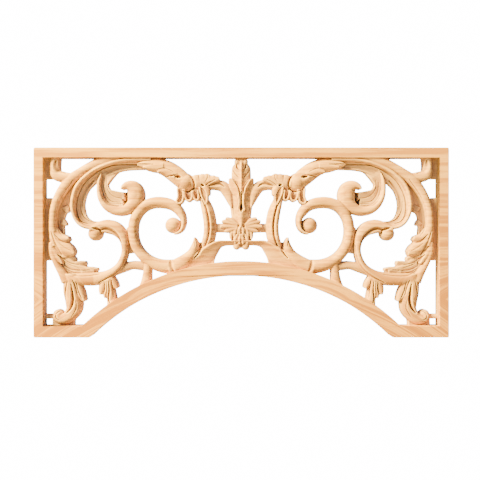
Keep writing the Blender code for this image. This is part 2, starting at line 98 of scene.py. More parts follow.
def rounded(corner, before, after, radius, count=6):
    """A fillet at a corner between two directions that lead away from it."""
    corner, before, after = Vector(corner), Vector(before).normalized(), Vector(after).normalized()
    half = before.angle(after) / 2
    reach = radius / math.tan(half)
    centre = corner + (before + after).normalized() * radius / math.sin(half)
    start = corner + before * reach - centre
    turn = start.angle_signed(corner + after * reach - centre)
    return [tuple(centre + Matrix.Rotation(-turn * i / count, 2) @ start) for i in range(count + 1)]


right, top = LENGTH / 2, HEIGHT / 2
slope = (-(-top - arch_centre) / half_span, 1)
outside = [
    *half_arch(arch_radius, half_span - FOOT_CORNER),
    *rounded((half_span, -top), slope, (1, 0), FOOT_CORNER),
    *rounded((right, -top), (-1, 0), (0, 1), OUTER_CORNER),
    *rounded((right, top), (0, -1), (-1, 0), OUTER_CORNER),
]
inner_run = math.sqrt(band_radius**2 - (floor_line - arch_centre) ** 2)
inside = [
    *half_arch(band_radius, inner_run),
    (right - STILE, floor_line),
    (right - STILE, top - TOP_RAIL),
]
print(f"half outlines of {len(outside)} and {len(inside)} points")


# %% The frame's mesh
MERGE_WITHIN = 0.01
SAME_DEPTH = 0.1
SHARP_ANGLE = math.radians(50)


def made_mesh(obj):
    """The mesh that Blender makes of an object with its modifiers, in the object's own axes."""
    graph = bpy.context.evaluated_depsgraph_get()
    return bpy.data.meshes.new_from_object(obj.evaluated_get(graph))


def sawn_frame():
    """The frame as one closed solid, its sharp edges softened a little."""
    curve = bpy.data.curves.new("frame outline", "CURVE")
    curve.dimensions = "2D"
    curve.fill_mode = "BOTH"
    curve.extrude = THICKNESS / 2 * MM
    for half in (outside, inside):
        outline = half + [(-x, z) for x, z in reversed(half)]
        spline = curve.splines.new("POLY")
        spline.points.add(len(outline) - 1)
        for point, (x, z) in zip(spline.points, outline):
            point.co = (x * MM, z * MM, 0, 1)
        spline.use_cyclic_u = True
    guide = bpy.data.objects.new("frame outline", curve)
    bpy.context.scene.collection.objects.link(guide)
    data = made_mesh(guide)
    bpy.data.objects.remove(guide)
    data.transform(Matrix.Translation((0, -THICKNESS / 2 * MM, 0)) @ Matrix.Rotation(math.pi / 2, 4, "X"))
    shape = bmesh.new()
    shape.from_mesh(data)
    bmesh.ops.remove_doubles(shape, verts=shape.verts, dist=MERGE_WITHIN * MM)
    bmesh.ops.recalc_face_normals(shape, faces=shape.faces)
    sharp = [e for e in shape.edges if e.is_manifold and e.calc_face_angle() > SHARP_ANGLE]
    rim = [e for e in sharp if abs(e.verts[0].co.y - e.verts[1].co.y) < SAME_DEPTH * MM]
    bmesh.ops.bevel(
        shape, geom=rim, offset=EDGE_SOFTENING * MM, affect="EDGES", segments=3, profile=0.5, material=-1
    )
    shape.to_mesh(data)
    shape.free()
    data.shade_smooth()
    obj = bpy.data.objects.new("sawn_frame", data)
    bpy.context.scene.collection.objects.link(obj)
    obj.modifiers.new("keep flats flat", "WEIGHTED_NORMAL")
    obj.data = made_mesh(obj)
    obj.modifiers.clear()
    return obj


sawn = sawn_frame()
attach(sawn, "root")
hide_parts("carved_panel")
print(f"frame: {len(sawn.data.polygons)} faces")

# %% [markdown]
# ## How the carving is drawn
#
# A carver thinks in strokes: a stem that swells and narrows, a scroll that winds in, a leaf that ends in a
# tip. Here each stroke has a path through a few stations, each with its own width, and a cross-section that
# says how the surface falls from its crest to its edges. A grid with as many rows as the path has steps is
# bent along it, and its faces are extruded to the board's back, which makes a closed solid.


# %% Paths
def between(a, b, c, d, t):
    """A smooth step from b to c through four values, t from 0 to 1."""
    return b + 0.5 * t * (c - a + t * (2 * a - 5 * b + 4 * c - d + t * (3 * (b - c) + d - a)))


def smooth(stations, facet, length):
    """Points on a smooth curve through the stations, about one facet apart."""
    ends = [stations[0], *stations, stations[-1]]
    points = [stations[0]]
    for a, b, c, d in zip(ends, ends[1:], ends[2:], ends[3:]):
        count = max(1, round(length(b, c) / facet))
        for i in range(1, count + 1):
            points.append(tuple(between(*four, i / count) for four in zip(a, b, c, d)))
    return points


def stem(*stations, facet=1.0):
    """A path through stations of x, z and width, in millimetres from the panel's centre."""
    return smooth(stations, facet, lambda b, c: math.hypot(c[0] - b[0], c[1] - b[1]))


def scroll(centre, *turns, facet=1.0):
    """A path round a centre, through turns of angle in degrees, radius and width."""
    path = []
    for angle, radius, width in smooth(turns, facet, lambda b, c: math.radians(abs(c[0] - b[0])) * b[1]):
        turned = math.radians(angle)
        path.append((centre[0] + radius * math.cos(turned), centre[1] + radius * math.sin(turned), width))
    return path


print(f"a straight stem of 10 mm has {len(stem((0, 0, 1), (10, 0, 1)))} points")


# %% Cross-sections
SECTION_STEP = 0.09


def section(*stations):
    """A smooth cross-section. A station is a place across the stroke, from -1 to 1, and its share of the fall
    from the crest to the edge."""
    return smooth(stations, SECTION_STEP, lambda b, c: abs(c[0] - b[0]))


# Seen along a stroke, 1 is its left edge, which is the outer side of a scroll.
ROUND = section(
    (-1, 1), (-0.93, 0.62), (-0.75, 0.32), (-0.4, 0.07), (0, 0), (0.4, 0.07), (0.75, 0.32), (0.93, 0.62),
    (1, 1),
)
ROOF = section((-1, 1), (-0.88, 0.6), (-0.45, 0.28), (0, 0), (0.45, 0.28), (0.88, 0.6), (1, 1))
PILLOW = section(
    (-1, 1), (-0.94, 0.5), (-0.75, 0.16), (-0.35, 0.02), (0.35, 0.02), (0.75, 0.16), (0.94, 0.5), (1, 1)
)
LEANING = section((-1, 0.5), (-0.9, 0.16), (-0.7, 0), (-0.2, 0.22), (0.4, 0.66), (1, 1))
RIM_AND_FLUTE = section(
    (-1, 0.92), (-0.9, 0.84), (-0.6, 0.98), (-0.2, 0.9), (0.08, 0.66), (0.2, 0.58), (0.27, 0.68),
    (0.36, 0.24), (0.48, 0.04), (0.65, 0), (0.84, 0.14), (0.95, 0.4), (1, 0.7),
)
DISH = section((-1, 0.3), (-0.85, 0.4), (-0.3, 0.85), (0.2, 1), (0.8, 0.8), (1, 0.5))
GUTTER = section((-1, 0.8), (-0.6, 0.92), (-0.1, 1), (0.4, 0.94), (0.8, 0.6), (1, 0.3))
STEM_WITH_GROOVE = section(
    (-1, 1), (-0.85, 0.68), (-0.5, 0.3), (-0.2, 0.04), (-0.06, 0.02), (0.06, 0.5), (0.14, 0.52), (0.28, 0.1),
    (0.5, 0), (0.75, 0.12), (0.93, 0.45), (1, 0.9),
)
KEEL = section(
    (-1, 1), (-0.9, 0.74), (-0.6, 0.5), (-0.22, 0.34), (-0.09, 0.16), (0, 0), (0.09, 0.16), (0.22, 0.34),
    (0.6, 0.5), (0.9, 0.74), (1, 1),
)
BANK = section((-1, 1), (-0.6, 0.7), (0.1, 0.42), (0.55, 0.14), (0.78, 0), (0.92, 0.12), (1, 0.5))
LEVEL = section((-1, 0), (1, 0))
print(f"the round section has {len(ROUND)} stations")


# %% Strokes and knobs
def stroke(wood, path, across_path, depth, relief, sunk_start=0.0, sunk_end=0.0):
    """A band along a path. Depth is its crest's depth below the face, relief its fall to the edge. Its first
    and last quarters can lie deeper, to pass under another stroke."""
    rows, columns = len(path) - 1, len(across_path) - 1
    sheet = bmesh.ops.create_grid(wood, x_segments=rows, y_segments=columns, size=0.5)["verts"]
    faces = {face for vertex in sheet for face in vertex.link_faces}
    for vertex in sheet:
        row = round((vertex.co.x + 0.5) * rows)
        across, fall = across_path[round((vertex.co.y + 0.5) * columns)]
        x, z, width = path[row]
        ahead, behind = path[min(row + 1, rows)], path[max(row - 1, 0)]
        along = Vector((ahead[0] - behind[0], ahead[1] - behind[1])).normalized()
        x -= along.y * across * width / 2
        z += along.x * across * width / 2
        sunk = sunk_start * max(0, 1 - 4 * row / rows) + sunk_end * max(0, 4 * row / rows - 3)
        vertex.co = (x * MM, (depth + sunk + relief * fall - THICKNESS) * MM, z * MM)
    for part in bmesh.ops.extrude_face_region(wood, geom=list(faces))["geom"]:
        if isinstance(part, bmesh.types.BMVert):
            part.co.y = 0


MOST_RISE = 6.0
POST_SHARE = 0.985


def knob(wood, x, z, radius, depth, across=1.0, rise=None):
    """A ball on a slightly thinner round post, its top this far below the face."""
    rise = rise or min(radius, MOST_RISE)
    ball = bmesh.ops.create_uvsphere(wood, u_segments=36, v_segments=20, radius=MM)["verts"]
    bmesh.ops.scale(wood, verts=ball, vec=(radius * across, rise, radius))
    bmesh.ops.translate(wood, verts=ball, vec=(x * MM, (depth + rise - THICKNESS) * MM, z * MM))
    post_length = THICKNESS - depth - rise
    turn = Matrix.Rotation(math.pi / 2, 3, "X")
    post = bmesh.ops.create_cone(
        wood, cap_ends=True, segments=36, radius1=MM, radius2=MM, depth=post_length * MM
    )["verts"]
    bmesh.ops.rotate(wood, verts=post, matrix=turn)
    bmesh.ops.scale(wood, verts=post, vec=(radius * across * POST_SHARE, 1, radius * POST_SHARE))
    bmesh.ops.translate(wood, verts=post, vec=(x * MM, -post_length / 2 * MM, z * MM))


print("strokes and knobs are ready")

# %% [markdown]
# ## The right half's scrolls
#
# The biggest forms come first: the ring that winds in to a ball, the crescent that swings down from the top
# rail with a rim on its outer side, the volute that curls up into a bulb, and the hook inside the crescent.
# All of them go into one bmesh as closed solids that run through each other.

# %% Scrolls
carving = bmesh.new()

ring = scroll(
    (63.1, 9.2), (-112, 31.2, 12.5), (-98, 28.9, 11.4), (-61, 25.9, 8.8), (-30, 24.4, 8.4), (0, 23.7, 8.2),
    (50, 24.6, 8.8), (90, 22.8, 9.2), (115, 21.9, 8.6), (135, 20.4, 7.4), (151, 19.2, 5.4), (164, 17.4, 4.5),
    (175, 15.6, 3.6), (186, 12.6, 2.6), (194, 9.6, 1.4),
)
stroke(carving, ring, ROUND, 1.0, 4.8)
knob(carving, 54.7, 13.7, 6.5, 0.9)

crescent = stem(
    (72.0, 63.4, 9.4), (92.6, 62.8, 10.0), (105.3, 59.7, 10.6), (117.3, 54.0, 10.6), (127.3, 44.6, 11.0),
    (131.2, 33.8, 11.0), (130.9, 24.6, 10.8), (127.4, 17.4, 9.6), (121.0, 14.2, 7.4), (113.5, 15.2, 3.6),
)
stroke(carving, crescent, RIM_AND_FLUTE, 0.9, 5.2)

dish = stem(
    (98.5, 60.0, 6.0), (103.6, 57.6, 8.6), (108.8, 52.0, 9.4), (111.4, 46.0, 9.0), (109.0, 38.6, 11.6),
    (102.0, 35.0, 13.2), (92.0, 34.6, 11.0),
)
stroke(carving, dish, DISH, 3.2, 2.2, sunk_start=3.6)
volute_rim = stem(
    (111.8, 55.0, 1.4), (113.6, 49.0, 3.4), (113.8, 41.8, 4.4), (112.2, 35.2, 5.2), (108.3, 29.3, 6.2),
    (102.4, 25.8, 7.2), (95.8, 25.2, 8.0), (89.6, 27.8, 9.6), (85.0, 32.8, 12.4), (83.9, 38.8, 13.0),
    (86.0, 43.6, 11.8), (90.6, 45.6, 8.0), (94.4, 44.4, 4.4), (95.8, 42.6, 1.8),
)
stroke(carving, volute_rim, ROUND, 0.9, 4.6, sunk_start=2.0)
knob(carving, 85.2, 38.4, 10.6, 0.6, across=0.64, rise=5.6)

hook = stem(
    (121.0, 10.4, 4.0), (114.0, 12.4, 8.6), (106.5, 12.7, 11.4), (99.7, 10.2, 10.8), (94.6, 4.0, 8.2),
    (93.1, -4.5, 5.6), (94.3, -12.3, 5.8), (98.4, -19.8, 6.4), (105.6, -25.3, 7.6), (114.9, -29.0, 10.4),
    (127.5, -29.5, 10.0), (137.0, -29.0, 8.0),
)
stroke(carving, hook, ROUND, 1.0, 3.8)
knob(carving, 117.1, 7.2, 6.0, 1.0)
print(f"scrolls: {len(carving.verts)} vertices")

# %% [markdown]
# ## The leaf beside the stile
#
# Acanthus leaves are carved as a rim, a hollow behind it, and lobes that fold over one another. The rim
# catches the light and the hollow falls away from it. Lower down a folded lobe lies on a second leaf, whose
# edge runs out in three teeth.

# %% Outer leaf
rim = stem(
    (98.0, 69.2, 6.6), (109.0, 65.8, 9.8), (121.0, 60.7, 7.8), (129.2, 55.7, 8.0), (136.6, 50.4, 8.8),
    (142.8, 42.8, 8.2), (147.3, 34.6, 7.4), (150.0, 25.5, 6.8), (150.8, 15.5, 6.6), (150.2, 6.5, 7.4),
    (148.4, -2.5, 8.6),
)
stroke(carving, rim, ROUND, 1.2, 4.0)
hollow = stem(
    (128.0, 53.0, 4.0), (135.0, 45.4, 8.0), (139.6, 36.2, 11.2), (142.8, 29.0, 9.2), (145.2, 21.5, 6.8),
    (145.8, 14.5, 6.2), (145.4, 7.0, 6.4),
)
stroke(carving, hollow, GUTTER, 3.4, 4.0)
blade = stem((151.0, 12.0, 6.0), (147.6, 4.0, 11.0), (144.6, -4.0, 15.0), (144.2, -12.0, 11.0))
stroke(carving, blade, PILLOW, 2.7, 1.8)
for tip in (
    stem((141.8, 29.0, 5.0), (140.6, 26.6, 4.4), (139.2, 24.0, 1.6)),
    stem((143.8, 16.8, 4.8), (142.0, 15.2, 4.0), (140.4, 13.8, 1.4)),
):
    stroke(carving, tip, ROUND, 6.2, 0.8)
for lobe in (
    stem((149.5, 7.0, 6.0), (144.0, 3.4, 7.2), (139.6, 2.9, 5.6), (137.6, 3.6, 3.0)),
    stem((151.0, -5.0, 5.5), (146.6, -11.6, 6.4), (143.4, -15.4, 4.2), (142.8, -16.8, 2.0)),
    stem(
        (151.4, 0.0, 5.0), (151.0, -8.0, 5.4), (147.6, -17.0, 5.4), (143.4, -24.5, 6.6), (140.0, -31.0, 8.4)
    ),
):
    stroke(carving, lobe, ROUND, 1.5, 3.0)
fold = stem(
    (150.0, 2.0, 6.0), (143.8, -2.6, 10.4), (138.6, -6.2, 10.2), (135.0, -8.0, 7.4), (133.0, -8.6, 3.6)
)
stroke(carving, fold, ROUND, 0.9, 3.6)
under_leaf = stem((147.5, -9.0, 13.0), (142.0, -17.0, 15.0), (133.0, -22.0, 12.0), (118.0, -24.6, 6.0))
stroke(carving, under_leaf, LEANING, 3.8, 2.4)
for tooth in (
    stem((140.0, -15.0, 7.0), (136.2, -14.0, 6.8), (132.6, -12.8, 2.4)),
    stem((135.0, -19.6, 7.0), (129.6, -18.2, 7.2), (124.4, -16.2, 3.0)),
    stem((128.0, -23.8, 7.0), (121.0, -22.4, 5.8), (114.8, -21.6, 2.2)),
):
    stroke(carving, tooth, LEANING, 3.9, 1.6)
print(f"with the outer leaf: {len(carving.verts)} vertices")

# %% Small leaves and the corner curl
corner = stem(
    (148.6, 71.0, 7.4), (149.4, 60.5, 7.2), (148.4, 54.5, 8.6), (143.0, 52.6, 8.8), (135.0, 52.4, 6.0)
)
stroke(carving, corner, ROUND, 2.0, 3.0)

drop = stem(
    (136.4, -25.0, 12.0), (136.0, -37.8, 13.4), (134.4, -46.0, 13.6), (134.4, -53.8, 12.4),
    (139.2, -60.0, 9.6), (145.2, -61.0, 7.6), (148.4, -57.6, 5.6),
)
stroke(carving, drop, ROUND, 1.2, 3.8)
drop_lobe = stem((132.8, -32.0, 7.4), (129.2, -39.6, 7.2), (126.6, -44.6, 4.8), (124.8, -46.8, 2.0))
stroke(carving, drop_lobe, ROUND, 2.0, 2.6)
knob(carving, 146.8, -57.8, 4.2, 1.9)

short = stem(
    (107.5, -26.0, 10.0), (106.3, -36.0, 9.4), (104.2, -43.0, 7.6), (103.2, -50.0, 8.6), (102.0, -56.0, 12.0)
)
stroke(carving, short, ROUND, 1.4, 3.0)
for lobe in (
    stem((109.2, -30.0, 6.0), (111.4, -36.6, 5.6), (112.0, -41.6, 2.8)),
    stem((104.8, -28.0, 6.0), (101.4, -33.2, 5.6), (99.2, -36.6, 2.8)),
    stem((107.0, -34.0, 5.0), (108.6, -40.0, 4.2), (108.6, -44.4, 2.2)),
):
    stroke(carving, lobe, ROUND, 1.9, 2.6)
print(f"with the small leaves: {len(carving.verts)} vertices")

# %% [markdown]
# ## Ties and webs
#
# An openwork carving would snap at its thinnest scrolls, so low bars and webs are left between them. They lie
# well below the scrolls, in their shadow.

# %% Ties and webs
tie = stem(
    (101.5, -23.6, 6.5), (93.4, -20.0, 7.5), (87.0, -18.3, 6.8), (80.6, -18.8, 7.2), (73.0, -20.0, 6.5)
)
stroke(carving, tie, ROUND, 3.2, 2.8)
post = stem((74.6, -14.0, 7.0), (75.2, -24.0, 7.0), (76.2, -33.0, 9.4), (77.4, -40.0, 14.0))
stroke(carving, post, ROUND, 1.9, 3.0)
for path, across_path, depth, relief in (
    (stem((90.5, 12.0, 3.0), (90.2, 4.0, 5.0), (88.3, -9.0, 8.2)), LEVEL, 5.2, 0),
    (stem((158.5, -59.4, 3.6), (148.0, -59.4, 3.6)), ROUND, 5.2, 1.4),
    (stem((151.4, -63.4, 5.6), (134.0, -64.5, 9.6)), LEVEL, 5.0, 0),
    (stem((154.5, 69.0, 8.4), (154.5, 51.0, 8.0)), LEVEL, 6.6, 0),
    (stem((154.8, 36.0, 5.0), (155.0, 12.0, 7.5), (154.8, -14.6, 6.0)), LEVEL, 7.0, 0),
    (stem((33.6, 0.2, 4.0), (33.2, -7.0, 6.5)), LEVEL, 7.0, 0),
    (stem((26.0, 11.6, 6.8), (10.0, 11.6, 7.6)), ROUND, 4.6, 1.8),
):
    stroke(carving, path, across_path, depth, relief)
print(f"with ties and webs: {len(carving.verts)} vertices")

# %% [markdown]
# ## The leafy head and the stem under it
#
# The top stem ends in a round nose with a drilled eye behind it. Small ruffles hang below it, and a crest
# leaf reaches towards the flower. The upright stem starts under the ruffles, has a deep groove along it, and
# sweeps out along the arch past a pointed bud.

# %% Head, ruffles and crest
calyx = stem(
    (83.0, 62.4, 1.4), (79.0, 62.4, 6.0), (73.0, 62.6, 9.8), (66.5, 62.2, 11.6), (58.5, 58.6, 13.6),
    (51.5, 53.6, 14.4), (46.5, 49.2, 13.8),
)
stroke(carving, calyx, ROUND, 1.0, 4.0)
for lobe in (
    stem((78.0, 60.0, 1.8), (75.0, 60.0, 5.0), (70.0, 60.6, 8.6), (62.0, 60.4, 9.0)),
    stem((66.8, 56.0, 1.8), (63.6, 56.8, 5.0), (58.6, 56.6, 8.6), (52.0, 53.4, 9.0)),
):
    stroke(carving, lobe, ROUND, 0.4, 3.4)
knob(carving, 44.8, 48.4, 7.4, 0.3)
stroke(carving, stem((50.5, 40.0, 10.0), (41.0, 40.0, 12.0), (30.0, 40.0, 10.0)), LEVEL, 4.4, 0)
for loop in (
    stem((50.8, 43.0, 2.0), (50.4, 37.0, 1.9), (51.6, 33.0, 2.0), (50.0, 31.2, 1.9), (47.2, 32.6, 1.9),
         (46.1, 37.0, 1.8), (46.6, 42.0, 1.6), facet=0.6),
    stem((45.4, 42.0, 1.6), (45.0, 37.0, 1.9), (43.4, 33.9, 1.9), (41.0, 33.5, 1.9), (39.5, 36.0, 1.9),
         (39.7, 41.6, 1.6), facet=0.6),
    stem((38.8, 42.0, 1.6), (38.2, 37.2, 1.9), (36.6, 34.1, 1.9), (34.6, 34.2, 1.8), (34.0, 37.0, 1.8),
         (34.6, 42.0, 1.6), facet=0.6),
    stem((33.2, 44.0, 2.0), (32.2, 38.6, 1.9), (30.0, 33.4, 1.9), (28.5, 30.6, 1.5), (27.4, 33.0, 1.9),
         (27.2, 37.6, 2.4), (28.6, 42.0, 3.0), facet=0.6),
):
    stroke(carving, loop, ROUND, 1.6, 2.6)
stroke(carving, stem((31.6, 43.0, 5.0), (29.8, 38.0, 5.0), (28.6, 33.0, 2.4)), LEVEL, 2.9, 0)
stroke(carving, stem((49.0, 44.0, 5.0), (48.8, 38.0, 5.0), (49.8, 32.4, 3.6)), LEVEL, 3.8, 0)
crest = stem((42.0, 48.6, 8.0), (34.5, 48.8, 11.4), (27.0, 49.4, 10.0), (20.8, 50.2, 6.4), (17.4, 50.8, 3.6))
stroke(carving, crest, ROUND, 1.6, 2.6)
stroke(carving, stem((30.6, 47.0, 7.0), (27.4, 41.8, 5.8), (26.2, 37.6, 3.2)), ROUND, 1.7, 2.6)
crest_bumps = ((36.0, 50.6, 3.7), (31.0, 51.4, 3.6), (27.4, 51.6, 3.6), (22.4, 50.8, 3.0), (19.2, 50.4, 2.2))
for x, z, size in crest_bumps:
    knob(carving, x, z, size, 1.6, rise=1.6)
bow = stem(
    (27.0, 46.0, 7.5), (20.4, 46.2, 8.0), (14.4, 44.8, 9.2), (10.8, 39.6, 8.6), (9.0, 33.4, 5.4),
    (7.8, 28.0, 1.4),
)
stroke(carving, bow, ROUND, 2.5, 3.6)
print(f"with the head: {len(carving.verts)} vertices")

# %% Main stem and bud
upright = stem(
    (31.0, 37.0, 6.0), (29.0, 32.0, 8.2), (26.9, 26.0, 9.8), (25.4, 19.0, 10.4), (24.8, 12.0, 10.4),
    (25.6, 4.5, 10.2), (28.2, -2.4, 9.0), (32.0, -8.0, 7.0),
)
stroke(carving, upright, STEM_WITH_GROOVE, 0.9, 3.8, sunk_start=2.4, sunk_end=3.6)
foot = stem(
    (1.0, -0.4, 4.2), (12.0, -0.5, 4.4), (17.8, -1.6, 6.8), (22.4, -5.0, 10.4), (27.4, -10.0, 13.6),
    (34.0, -15.0, 13.6), (43.0, -19.0, 11.0), (54.0, -22.4, 8.0),
)
stroke(carving, foot, BANK, 1.4, 3.4)
stroke(carving, stem((24.0, -9.0, 9.0), (27.4, -14.0, 12.6), (29.4, -21.0, 14.6)), LEVEL, 4.6, 0)
bud = stem(
    (37.4, 4.2, 1.2), (36.6, 0.6, 4.6), (37.2, -3.6, 6.6), (39.8, -9.2, 8.4), (45.2, -14.6, 10.6),
    (52.0, -18.8, 11.6), (58.0, -21.6, 10.0),
)
stroke(carving, bud, ROUND, 0.8, 4.2)
print(f"right half: {len(carving.verts)} vertices")

# %% [markdown]
# ## The bellflower
#
# The flower stands on the centre line and is its own mirror image, so it is a piece of its own. The strokes
# beside the line are drawn once and doubled: everything is copied and turned over in x. A copy that lies in
# its original does no harm, because the next step melts all the solids into one.

# %% Bellflower and blossom
flower = bmesh.new()
stroke(flower, stem((0, 70, 9.8), (0, 64.6, 9.6), (0, 62.0, 8.0)), ROUND, 2.4, 2.6)
for x, size in ((0.0, 2.6), (3.2, 2.4)):
    knob(flower, x, 64.4, size, 1.5, rise=2.2)
hood = stem(
    (0, 63.4, 9.6), (0, 61.4, 13.4), (0, 58.0, 15.4), (0, 50.0, 15.4), (0, 45.0, 12.0), (0, 39.6, 5.0)
)
stroke(flower, hood, KEEL, 0.4, 4.6)
bell = stem(
    (0, 50.0, 14.0), (0, 43.0, 18.4), (0, 34.0, 19.4), (0, 26.0, 17.2), (0, 19.0, 15.2), (0, 15.2, 10.4),
    (0, 12.4, 3.6),
)
stroke(flower, bell, ROOF, 1.2, 5.6)
petal = stem(
    (9.6, 51.0, 1.4), (8.0, 48.8, 5.0), (6.0, 44.6, 7.4), (4.6, 40.6, 6.4), (3.4, 37.0, 3.4), (2.6, 34.6, 1.0)
)
stroke(flower, petal, LEANING, 0.7, 2.8)
for fan in (
    stem((3.0, 14.2, 2.6), (7.4, 17.2, 4.0), (11.0, 18.8, 3.4), (12.6, 19.2, 1.8)),
    stem((3.0, 13.4, 2.6), (9.0, 15.8, 4.2), (13.8, 16.6, 3.6), (15.6, 16.8, 1.8)),
    stem((3.0, 12.6, 2.6), (9.0, 12.9, 4.2), (14.8, 12.8, 3.6), (16.8, 12.6, 1.8)),
    stem((3.0, 11.8, 2.6), (8.0, 10.2, 4.0), (11.8, 9.2, 3.4), (13.2, 8.8, 1.8)),
):
    stroke(flower, fan, ROUND, 2.2, 2.2)
for small_petal in (
    stem((0.6, 13.0, 1.6), (1.6, 10.2, 3.6), (1.8, 7.0, 2.6), (1.6, 5.6, 1.2), facet=0.7),
    stem((3.2, 12.2, 1.6), (4.8, 9.4, 3.6), (5.4, 6.2, 2.8), (5.2, 4.6, 1.4), facet=0.7),
    stem((6.0, 9.8, 1.6), (7.8, 7.2, 3.4), (8.2, 4.2, 2.6), (7.8, 2.6, 1.4), facet=0.7),
    stem((2.8, 6.8, 1.4), (4.4, 3.8, 3.6), (5.0, 0.8, 2.8), (4.8, -0.8, 1.4), facet=0.7),
    stem((0.2, 6.8, 1.4), (1.2, 3.4, 3.2), (1.4, 0.4, 2.6), (1.2, -1.4, 1.4), facet=0.7),
):
    stroke(flower, small_petal, ROUND, 1.5 + small_petal[0][0] / 6, 2.2)
knob(flower, 3.6, -2.9, 3.1, 2.2, rise=2.6)
stroke(flower, stem((0, 14.0, 12.0), (0, 6.0, 18.0), (0, -2.0, 14.0)), ROUND, 3.6, 2.6)
bar = stem((0, 2.7, 6.0), (0, -4.4, 6.0))
stroke(flower, bar, LEVEL, 4.0, 0)

twin = bmesh.ops.duplicate(flower, geom=flower.verts[:] + flower.edges[:] + flower.faces[:])["geom"]
turned = [part for part in twin if isinstance(part, bmesh.types.BMVert)]
bmesh.ops.scale(flower, verts=turned, vec=(-1, 1, 1))
print(f"bellflower: {len(flower.verts)} vertices")

# %% [markdown]
# ## From solids to carved wood
#
# Overlapping solids look like bent pipes. A voxel remesh melts them into one skin, and a little smoothing
# then rounds the edges where they meet, as sanding does. After that the skin is tooled: a mark pushes the
# surface back along a path, hardest in its middle, which is what a gouge does. A mark that pushes forward
# raises a vein.

# %% Melt and sand
VOXEL = 0.36


def apply_modifiers(obj):
    """Gives the object the mesh that its modifiers make, and takes them off."""
    data = made_mesh(obj)
    obj.modifiers.clear()
    obj.data = data


def melted(name, wood):
    """One skin round all the solids, sanded, as an object."""
    bmesh.ops.recalc_face_normals(wood, faces=wood.faces)
    data = bpy.data.meshes.new(name)
    wood.to_mesh(data)
    wood.free()
    obj = bpy.data.objects.new(name, data)
    bpy.context.scene.collection.objects.link(obj)
    melt = obj.modifiers.new("melt", "REMESH")
    melt.mode = "VOXEL"
    melt.voxel_size = VOXEL * MM
    sand = obj.modifiers.new("sand", "SMOOTH")
    sand.factor = 0.5
    sand.iterations = 3
    apply_modifiers(obj)
    print(f"{name}: {len(obj.data.vertices)} vertices")
    return obj


scrollwork = melted("right_scrollwork", carving)
bellflower = melted("bellflower", flower)


# %% Tool marks
BELOW_FACE = 0.1
BACK_ZONE = 0.3


def point_grid(mesh, what):
    """The mesh's points, or their normals, as rows of x, y and z."""
    values = np.empty(len(mesh.vertices) * 3, np.float32)
    if what == "normal":
        mesh.vertex_normals.foreach_get("vector", values)
    else:
        mesh.vertices.foreach_get("co", values)
    return values.reshape(-1, 3)


def away_from(spots, path):
    """How far each spot is from a path in the panel's plane, as a share of the path's half width there."""
    nearest = np.full(len(spots), np.inf)
    for (ax, az, aw), (bx, bz, bw) in zip(path, path[1:]):
        along = np.array((bx - ax, bz - az))
        share = np.clip(((spots - (ax, az)) @ along) / max(along @ along, 1e-9), 0, 1)
        gap = np.hypot(*(spots - (ax, az) - share[:, None] * along).T)
        nearest = np.minimum(nearest, gap / np.maximum((aw + (bw - aw) * share) / 2, 0.05))
    return nearest


def tooled(obj, marks, back):
    """Pushes the skin back along each mark's path. A sharp mark is a V, the others are round. The back is
    made flat, this far in front of the frame's back, so that no two pieces share a plane."""
    spots = point_grid(obj.data, "co") / MM
    facing = np.clip(-1.5 * point_grid(obj.data, "normal")[:, 1], 0, 1)
    for path, depth, sharp in marks:
        places = np.array(path)
        reach = places[:, 2].max()
        inside = np.all(spots[:, ::2] > places[:, :2].min(axis=0) - reach, axis=1)
        inside &= np.all(spots[:, ::2] < places[:, :2].max(axis=0) + reach, axis=1)
        near = np.flatnonzero(inside)
        share = np.clip(1 - away_from(spots[near][:, ::2], path), 0, 1)
        push = share if sharp else share * share * (3 - 2 * share)
        spots[near, 1] += depth * push * facing[near]
    spots[:, 1] = np.clip(spots[:, 1], BELOW_FACE - THICKNESS, 0)
    spots[spots[:, 1] > -BACK_ZONE, 1] = -back
    obj.data.vertices.foreach_set("co", (spots * MM).ravel())
    obj.data.update()
    print(f"{obj.name}: {len(marks)} tool marks")


def vee(*stations, depth):
    """A V cut."""
    return stem(*stations, facet=1.5), depth, True


def scoop(*stations, depth):
    """A round hollow, or with a depth below 0 a raised vein."""
    return stem(*stations, facet=1.5), depth, False


print(f"the carving stays {BELOW_FACE} mm or more below the board's face")


# %% [markdown]
# ## The carver's marks
#
# Each mark below stands for a line of the real panel: the dark line between the crescent's rim and its
# flute, the veins that run out to the teeth, the drilled eyes, the folds of the ruffles. They are given in
# millimetres from the panel's centre, with their width at each station.

